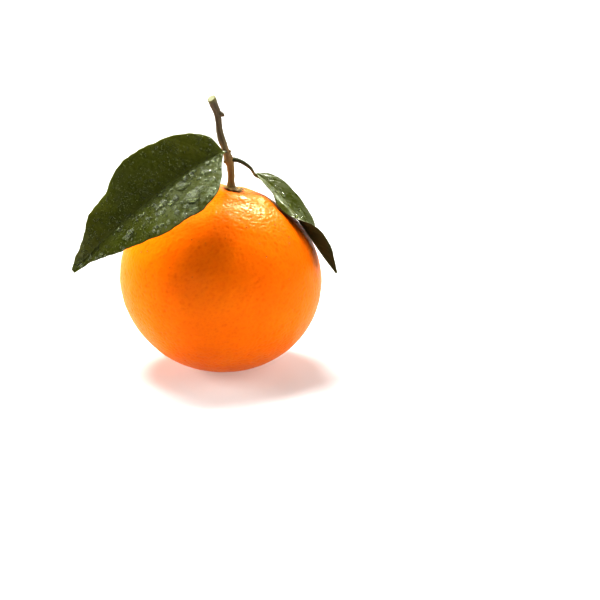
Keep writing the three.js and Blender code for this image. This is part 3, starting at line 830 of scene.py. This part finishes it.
def make_drops(name, spots, material):
    """One mesh of low round drops, from the middle, way out and radius of each."""
    fine, coarse = drop_shape(*FINE_DROP), drop_shape(*COARSE_DROP)
    dice = np.random.default_rng(21)
    points, faces = [], []
    start = 0
    for middle, way, radius in spots:
        shape, shape_faces = fine if radius > COARSE_RADIUS else coarse
        side = unit(np.cross(way, dice.normal(size=3)))
        other = np.cross(way, side)
        turn = np.arctan2(shape[:, 1], shape[:, 0])
        a, b = dice.uniform(0, 6.28, 2)
        outline = radius * (1 + 0.10 * np.cos(2 * turn + a) + 0.05 * np.cos(3 * turn + b))
        height = DROP_HEIGHT * radius / (1 + DROP_FLATTENING * radius)
        lift = np.where(shape[:, 2] < 0, -DROP_SINK, height * np.abs(shape[:, 2]) ** 0.8)
        across = outline[:, None] * (shape[:, :1] * side + shape[:, 1:2] * other)
        points.append(middle + across + lift[:, None] * way)
        faces += [[start + i for i in face] for face in shape_faces]
        start += len(shape)
    obj = mesh_object(name, np.concatenate(points), faces, material)
    return obj


def placed(blade, drops):
    """The listed drops of a leaf, set on its top."""
    top, normal, u, v = blade
    spots = []
    for along, across, radius in drops:
        k = np.unravel_index(np.argmin((u - along) ** 2 + (v - across) ** 2), u.shape)
        spots.append((top[k], normal[k], radius))
    return spots


def strewn(blade, count, radii, seed, low=-0.95, high=0.95):
    """Drops spread over a leaf's top between two lines along it, most of them small."""
    top, normal, u, v = blade
    dice = np.random.default_rng(seed)
    stretch = np.linalg.norm(np.gradient(top, axis=0), axis=2)
    spread = np.linalg.norm(np.gradient(top, axis=1), axis=2)
    weight = stretch * spread * (v > low) * (v < high) * (u > 0.02) * (u < 0.97)
    patchy = waves(top.reshape(-1, 3), 12, seed=8).reshape(u.shape)
    weight = weight * (1 + 0.6 * np.clip(patchy, -1, 1))
    chosen = dice.choice(u.size, count, replace=False, p=(weight / weight.sum()).ravel())
    sizes = radii[0] + (radii[1] - radii[0]) * dice.uniform(0, 1, count) ** 2.2
    spots = []
    for k, radius in zip(chosen, sizes):
        at = np.unravel_index(k, u.shape)
        spots.append((top[at], normal[at], radius))
    return spots


def fruit_spots(fruit, mist):
    """Fine drops over the upper shoulders of the fruit, fewer lower down."""
    points, normals = points_and_normals(fruit)
    dice = np.random.default_rng(9)
    from_stem = np.hypot(*(points[:, :2] - TWIG_PATH[0][:2]).T)
    weight = smoothstep(points[:, 2], *FRUIT_MIST_HEIGHTS) * (from_stem > FRUIT_DRY_RADIUS)
    chosen = dice.choice(len(points), mist, replace=False, p=weight / weight.sum())
    radii = 0.12 + 0.3 * dice.uniform(0, 1, mist) ** 2.5
    return [(points[k], normals[k], radius) for k, radius in zip(chosen, radii)]


# ---- materials

def new_material(name):
    material = bpy.data.materials.new(name)
    material.use_nodes = True
    tree = material.node_tree
    return material, tree, tree.nodes["Principled BSDF"]


def plug(tree, made, inputs):
    """Links each input of a node that is given a socket, and sets the others to their values."""
    for key, value in inputs.items():
        if isinstance(value, bpy.types.NodeSocket):
            tree.links.new(value, made.inputs[key])
        else:
            made.inputs[key].default_value = value


def node(tree, kind, inputs, **settings):
    made = tree.nodes.new(kind)
    for key, value in settings.items():
        setattr(made, key, value)
    plug(tree, made, inputs)
    return made


def attribute(tree, name):
    return node(tree, "ShaderNodeAttribute", {}, attribute_name=name).outputs["Fac"]


def ramp(tree, value, stops):
    made = node(tree, "ShaderNodeValToRGB", {"Fac": value})
    elements = made.color_ramp.elements
    while len(elements) < len(stops):
        elements.new(0.5)
    for element, (place, colour) in zip(elements, stops):
        element.position = place
        element.color = (*colour, 1)
    return made.outputs["Color"]


def fade(tree, value, low, high, first=0, last=1):
    """A grey that goes from first to last as the value goes from low to high."""
    return ramp(tree, value, [(low, (first,) * 3), (high, (last,) * 3)])


def maths(tree, operation, a, b, clamp=False):
    made = node(tree, "ShaderNodeMath", {0: a, 1: b}, operation=operation, use_clamp=clamp)
    return made.outputs[0]


def mixed(tree, factor, first, second):
    a, b = (c if isinstance(c, bpy.types.NodeSocket) else (*c, 1) for c in (first, second))
    made = node(tree, "ShaderNodeMix", {0: factor, 6: a, 7: b}, data_type="RGBA")
    return made.outputs[2]


def tinted(tree, colour, mask, amount, tint):
    """The colour with that amount of a tint over it where the mask is 1."""
    return mixed(tree, maths(tree, "MULTIPLY", mask, amount), colour, tint)


def object_noise(tree, scale, detail):
    """Even noise in the object's own space; scale is in features a metre."""
    where = node(tree, "ShaderNodeTexCoord", {}).outputs["Object"]
    made = node(
        tree, "ShaderNodeTexNoise",
        {"Vector": where, "Scale": scale, "Detail": detail, "Roughness": 0.55},
    )
    return made.outputs["Fac"]


def add_bump(tree, shader, scale, detail, distance, strength):
    """Fine unevenness, its depth in metres."""
    height = object_noise(tree, scale, detail)
    inputs = {"Height": height, "Distance": distance, "Strength": strength}
    plug(tree, shader, {"Normal": node(tree, "ShaderNodeBump", inputs).outputs["Normal"]})


def peel_material():
    material, tree, shader = new_material("orange_peel")
    orange = [
        (0.3, (0.88, 0.210, 0.002)), (0.52, (0.90, 0.231, 0.002)), (0.75, (0.92, 0.258, 0.003)),
    ]
    fleck, pore_shade = (0.92, 0.27, 0.004), (0.80, 0.15, 0.002)
    stem_end, calyx_shadow, scar = (0.88, 0.30, 0.012), (0.30, 0.10, 0.008), (0.22, 0.10, 0.03)
    stem = attribute(tree, "from_stem")
    fine = object_noise(tree, 420, 2)
    flecks = maths(tree, "MULTIPLY", maths(tree, "SUBTRACT", fine, 0.5), 0.35)
    colour = ramp(tree, object_noise(tree, 45, 3), orange)
    colour = mixed(tree, maths(tree, "ADD", flecks, 0.12, True), colour, fleck)
    # Painted shade: the pits of the peel made darker.
    colour = tinted(tree, colour, attribute(tree, "pit"), 0.5, pore_shade)
    colour = tinted(tree, colour, fade(tree, stem, 0.12, 0.32, 1, 0), 0.45, stem_end)
    colour = tinted(tree, colour, fade(tree, stem, 0.105, 0.16, 1, 0), 0.6, calyx_shadow)
    at_blossom = fade(tree, maths(tree, "SUBTRACT", stem, 2.2), 0.86, 0.92)
    colour = tinted(tree, colour, at_blossom, 0.85, scar)
    plug(tree, shader, {
        "Base Color": colour,
        "Roughness": maths(tree, "ADD", maths(tree, "MULTIPLY", fine, 0.16), 0.26),
        "Subsurface Weight": 0.18,
        "Subsurface Radius": (1.0, 0.35, 0.06),
        "Subsurface Scale": 0.0022,
        "Specular IOR Level": 0.16,
        "Specular Tint": (1.0, 0.8, 0.4, 1),
    })
    add_bump(tree, shader, 1300, 2, 0.00009, 0.7)
    return material


def leaf_material():
    material, tree, shader = new_material("leaf_skin")
    green = [
        (0.3, (0.090, 0.104, 0.010)), (0.5, (0.110, 0.120, 0.013)), (0.72, (0.138, 0.138, 0.016)),
    ]
    fleck, vein_green, rib_green = (0.062, 0.078, 0.010), (0.135, 0.15, 0.025), (0.17, 0.185, 0.045)
    shaded, margin = (0.045, 0.058, 0.006), (0.14, 0.16, 0.03)
    underside_and_shade = [(0.3, (0.055, 0.055, 0.014)), (0.7, (0.08, 0.078, 0.02))]
    dull_vein, dull_rib = (0.11, 0.11, 0.03), (0.14, 0.14, 0.045)
    sheen_paint = [(0.35, (0.11, 0.135, 0.06)), (0.6, (0.27, 0.30, 0.20))]
    stalk_green = [(0.35, (0.035, 0.040, 0.014)), (0.65, (0.070, 0.072, 0.028))]
    stalk_pale = (0.30, 0.32, 0.18)
    under, vein, rib, shade, stalk = (
        attribute(tree, name) for name in ("under", "vein", "rib", "shade", "stalk")
    )
    broad = object_noise(tree, 60, 3)
    fine = object_noise(tree, 900, 2)
    top = tinted(tree, ramp(tree, broad, green), fine, 0.35, fleck)
    top = tinted(tree, top, vein, 0.18, vein_green)
    top = tinted(tree, top, rib, 0.6, rib_green)
    # Painted shade over one half of the blade.
    top = mixed(tree, shade, top, shaded)
    # The underside: its own green, darkened by painted shade, though a citrus leaf's underside is
    # paler.
    back = tinted(tree, ramp(tree, broad, underside_and_shade), vein, 0.5, dull_vein)
    back = tinted(tree, back, rib, 0.6, dull_rib)
    colour = mixed(tree, fade(tree, under, 0.45, 0.55), top, back)
    # Painted sheen: light-coloured patches in place of the reflection on the wet blade.
    patches = fade(tree, object_noise(tree, 330, 3), 0.42, 0.6)
    colour = tinted(tree, colour, attribute(tree, "painted_sheen"), patches, ramp(tree, fine, sheen_paint))
    # The margin line: a light edge that turns black under the painted shade.
    edge = fade(tree, attribute(tree, "rim"), 0.975, 1.0)
    colour = tinted(tree, colour, edge, 0.6, mixed(tree, shade, margin, (0, 0, 0)))
    stem = ramp(tree, fine, stalk_green)
    stem = tinted(tree, stem, attribute(tree, "stalk_end"), 0.8, stalk_pale)
    gloss = fade(tree, object_noise(tree, 260, 3), 0.42, 0.58, 0.22, 0.42)
    gloss = maths(tree, "ADD", maths(tree, "MULTIPLY", under, 0.22), gloss)
    gloss = maths(tree, "ADD", gloss, maths(tree, "MULTIPLY", stalk, 0.3))
    plug(tree, shader, {
        "Base Color": mixed(tree, stalk, colour, stem),
        "Roughness": gloss,
        "Specular IOR Level": 0.35,
        "Specular Tint": (0.95, 1.0, 0.8, 1),
        "Coat Weight": 0.05,
        "Coat Roughness": 0.15,
    })
    add_bump(tree, shader, 1100, 3, 0.00006, 0.6)
    return material


def bark_material():
    material, tree, shader = new_material("twig_skin")
    along = [
        (0.0, (0.26, 0.185, 0.055)), (0.3, (0.29, 0.20, 0.06)), (0.45, (0.33, 0.25, 0.13)),
        (0.54, (0.14, 0.12, 0.055)), (0.8, (0.13, 0.105, 0.06)), (0.92, (0.13, 0.105, 0.07)),
        (0.98, (0.24, 0.25, 0.08)),
    ]
    groove, ridge, wood = (0.05, 0.03, 0.015), (0.26, 0.20, 0.11), (0.36, 0.36, 0.23)
    colour = ramp(tree, attribute(tree, "along"), along)
    colour = tinted(tree, colour, object_noise(tree, 700, 3), 0.5, groove)
    colour = tinted(tree, colour, attribute(tree, "ridge"), 0.3, ridge)
    colour = mixed(tree, attribute(tree, "cut"), colour, wood)
    plug(tree, shader, {"Base Color": colour, "Roughness": 0.65})
    add_bump(tree, shader, 1400, 4, 0.0001, 0.8)
    return material


def calyx_material():
    material, tree, shader = new_material("calyx_skin")
    brown = [(0.32, (0.13, 0.085, 0.02)), (0.46, (0.33, 0.235, 0.08)), (0.66, (0.54, 0.42, 0.19))]
    dry_rim, button = (0.27, 0.185, 0.06), (0.32, 0.235, 0.10)
    colour = ramp(tree, object_noise(tree, 900, 3), brown)
    colour = tinted(tree, colour, fade(tree, attribute(tree, "edge"), 0.7, 1.0), 0.6, dry_rim)
    colour = tinted(tree, colour, attribute(tree, "button"), 0.5, button)
    plug(tree, shader, {"Base Color": colour, "Roughness": 0.75})
    add_bump(tree, shader, 1600, 3, 0.0001, 0.8)
    return material


def water_material(name, scale, painted_light_tints, roughness, clear):
    """Water that is partly light-coloured: painted light, in place of the light that small drops
    gather and focus.
    """
    material, tree, shader = new_material(name)
    colours = list(zip((0.3, 0.7), painted_light_tints))
    plug(tree, shader, {
        "Base Color": ramp(tree, object_noise(tree, scale, 2), colours),
        "Roughness": roughness,
        "IOR": 1.33,
        "Transmission Weight": clear,
    })
    return material


def floor_material():
    material, tree, shader = new_material("white_table")
    plug(tree, shader, {
        "Base Color": (0.5, 0.5, 0.5, 1),
        "Roughness": 0.7,
        "Specular IOR Level": 0.1,
        "Emission Color": (1, 0.9, 0.87, 1),
        "Emission Strength": 0.42,
    })
    return material


# ---- stage

def make_camera():
    data = bpy.data.cameras.new("camera")
    data.lens = CAMERA_LENS
    data.sensor_width = CAMERA_SENSOR
    data.clip_start = 0.01
    data.clip_end = 50
    camera = bpy.data.objects.new("camera", data)
    camera.location = Vector(CAMERA_PLACE) * MM
    camera.rotation_euler = (math.radians(90 - CAMERA_PITCH), 0, 0)
    bpy.context.scene.collection.objects.link(camera)
    bpy.context.scene.camera = camera


def make_stage():
    corners = [(-1, -1, 0), (1, -1, 0), (1, 1, 0), (-1, 1, 0)]
    floor_points = np.array(corners) * FLOOR_REACH
    floor = mesh_object("floor", floor_points, [[0, 1, 2, 3]], floor_material(), body=None)
    make_backdrop()
    world = bpy.data.worlds.new("studio")
    world.use_nodes = True
    sky = {"Color": (1, 1, 1, 1), "Strength": SKY_LIGHT}
    plug(world.node_tree, world.node_tree.nodes["Background"], sky)
    bpy.context.scene.world = world
    for name, light in LAMPS.items():
        make_sun(name, *light, glossy=False)
    for name, light in SHINES.items():
        make_sun(name, *light, diffuse=False)
    bpy.context.scene.view_settings.view_transform = "Standard"
    bpy.context.scene.view_settings.gamma = VIEW_GAMMA


def make_backdrop():
    """A white wall round the floor, which the camera sees but which lights and shades nothing."""
    material, tree, shader = new_material("white_wall")
    white = (1, 1, 1, 1)
    plug(tree, shader, {"Base Color": white, "Emission Color": white, "Emission Strength": 1.2})
    turn = np.linspace(0, 2 * math.pi, WALL_SIDES, endpoint=False)
    foot = np.stack([np.cos(turn), np.sin(turn), 0 * turn], 1) * WALL_RADIUS
    points = np.concatenate([foot, foot + [0, 0, WALL_HEIGHT]])
    faces = ring_quads(2, WALL_SIDES)[:, [0, 3, 2, 1]]
    wall = mesh_object("backdrop", points, faces, material, body=None)
    for rays in ("shadow", "diffuse", "glossy", "transmission"):
        setattr(wall, "visible_" + rays, False)


def make_sun(name, way, spread, strength, diffuse=True, glossy=True):
    """Even light from a far disc, which reaches the whole floor alike."""
    data = bpy.data.lights.new(name, "SUN")
    data.energy = strength * math.pi
    data.angle = math.radians(spread)
    light = bpy.data.objects.new(name, data)
    light.rotation_euler = Vector(way).to_track_quat("Z", "Y").to_euler()
    light.visible_diffuse = diffuse
    light.visible_glossy = glossy
    bpy.context.scene.collection.objects.link(light)


make_camera()
make_stage()
fruit = make_fruit(peel_material())
make_calyx(calyx_material())
make_twig(bark_material())
leaf_skin = leaf_material()
left_blade = make_leaf(LEFT_LEAF, leaf_skin)
right_blade = make_leaf(RIGHT_LEAF, leaf_skin)
water = water_material("water", 800, [(0.62, 0.68, 0.45), (0.78, 0.82, 0.62)], 0.03, 0.84)
mist = water_material("mist", 500, [(0.26, 0.30, 0.10), (0.45, 0.49, 0.23)], 0.12, 0.7)
beads = strewn(left_blade, LEFT_BEADS, BEAD_RADII, seed=31, high=-0.1)
make_drops("drops_left", placed(left_blade, LEFT_DROPS) + beads, water)
make_drops("drops_right", placed(right_blade, RIGHT_DROPS), water)
make_drops("mist_left", strewn(left_blade, LEFT_MIST, MIST_RADII, seed=5), mist)
make_drops("mist_right", strewn(right_blade, RIGHT_MIST, MIST_RADII, seed=6), mist)
make_drops("drops_fruit", fruit_spots(fruit, FRUIT_MIST), water)
